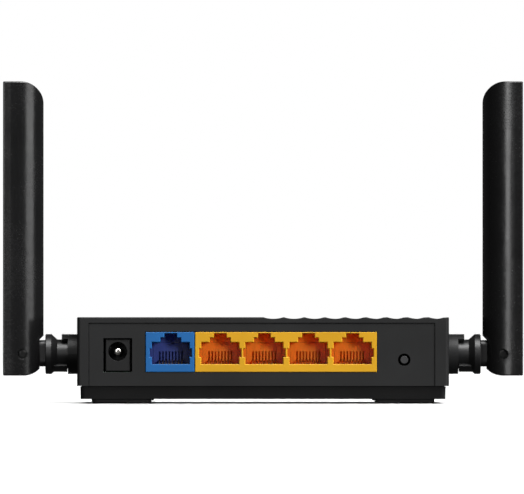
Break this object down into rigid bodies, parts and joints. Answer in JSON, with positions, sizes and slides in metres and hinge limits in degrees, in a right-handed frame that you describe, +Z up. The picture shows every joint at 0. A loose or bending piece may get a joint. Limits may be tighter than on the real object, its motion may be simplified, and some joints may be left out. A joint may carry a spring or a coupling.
{
  "type": "wireless router",
  "caption": "Low desktop wireless router with a ribbed top, a rear panel of power and network sockets and a reset button, and tall flat antennas that swivel and fold.",
  "frame": {"origin": "centre of the footprint, on the surface that the rubber feet stand on", "axes": "+Z up, -Y the rear with the sockets, +X to the right as seen from behind"},
  "size_m": [0.1652, 0.088, 0.1023],
  "materials": {
    "cover_plastic": "fine satin texture",
    "tray_plastic": "fine matt texture",
    "antenna_plastic": "satin",
    "hinge_plastic": "satin",
    "foot_rubber": "matt",
    "label_paper": "satin",
    "screw_steel": "bright",
    "pin_steel": "blackened",
    "blue_plastic": "semi-gloss",
    "yellow_plastic": "semi-gloss",
    "contact_gold": "bright",
    "socket_black": "satin",
    "contact_nickel": "bright",
    "button_grey": "satin",
    "tin_plate": "dull tin",
    "board_green": "solder mask",
    "chip_black": "matt",
    "pad_grey": "matt",
    "sink_aluminium": "satin",
    "ferrite_grey": "matt",
    "ceramic_tan": "satin",
    "led_white": "gloss",
    "guide_clear": "clear",
    "radiator_brass": "satin",
    "coax_jacket": "satin"
  },
  "bodies": {
    "case": {"top_cover": "cover_plastic", "port_panel": "cover_plastic", "bottom_case": "tray_plastic", "rubber_feet": "foot_rubber", "rating_label": "label_paper", "case_screws": "screw_steel", "board_screws": "screw_steel", "right_friction_washer": "screw_steel", "left_friction_washer": "screw_steel", "wan_socket_housing": "blue_plastic", "wan_contact_insert": "blue_plastic", "lan_socket_housing": "yellow_plastic", "lan_contact_inserts": "yellow_plastic", "wan_contacts": "contact_gold", "lan_contacts": "contact_gold", "power_socket_housing": "socket_black", "reset_switch_body": "socket_black", "power_socket_pin": "contact_nickel", "power_socket_spring": "contact_nickel", "reset_switch_bracket": "tin_plate", "shield_frame": "tin_plate", "shield_lid": "tin_plate", "crystal": "tin_plate", "main_board": "board_green", "processor_chip": "chip_black", "memory_chip": "chip_black", "flash_chip": "chip_black", "wan_transformer": "chip_black", "lan_transformer": "chip_black", "thermal_pad": "pad_grey", "heat_sink": "sink_aluminium", "capacitors": "sink_aluminium", "inductors": "ferrite_grey", "small_components": "ceramic_tan", "status_leds": "led_white", "light_guide": "guide_clear", "right_coax_ferrule": "radiator_brass", "left_coax_ferrule": "radiator_brass", "right_case_coax": "coax_jacket", "left_case_coax": "coax_jacket"},
    "right_swivel_base": {"right_swivel_stub": "hinge_plastic", "right_retaining_clip": "screw_steel", "right_stub_coax": "coax_jacket"},
    "right_antenna": {"right_antenna_blade": "antenna_plastic", "right_fold_pins": "pin_steel", "right_radiator": "radiator_brass", "right_blade_coax": "coax_jacket"},
    "left_swivel_base": {"left_swivel_stub": "hinge_plastic", "left_retaining_clip": "screw_steel", "left_stub_coax": "coax_jacket"},
    "left_antenna": {"left_antenna_blade": "antenna_plastic", "left_fold_pins": "pin_steel", "left_radiator": "radiator_brass", "left_blade_coax": "coax_jacket"},
    "reset_plunger": {"reset_button": "button_grey"}
  },
  "joints": [
    {"name": "right_antenna_swivel", "type": "hinge", "parent": "case", "child": "right_swivel_base", "pos_m": [0.0589, -0.026, 0.01568], "axis": [1, 0, 0], "range_deg": [-90, 90]},
    {"name": "right_antenna_fold", "type": "hinge", "parent": "right_swivel_base", "child": "right_antenna", "pos_m": [0.0763, -0.026, 0.01568], "axis": [0, 1, 0], "range_deg": [0, 90]},
    {"name": "left_antenna_swivel", "type": "hinge", "parent": "case", "child": "left_swivel_base", "pos_m": [-0.0589, -0.026, 0.01568], "axis": [-1, 0, 0], "range_deg": [-90, 90]},
    {"name": "left_antenna_fold", "type": "hinge", "parent": "left_swivel_base", "child": "left_antenna", "pos_m": [-0.0763, -0.026, 0.01568], "axis": [0, -1, 0], "range_deg": [0, 90]},
    {"name": "reset_button_press", "type": "slide", "parent": "case", "child": "reset_plunger", "axis": [0, 1, 0], "range_m": [0, 0.0005], "stiffness_N_per_m": 400}
  ]
}
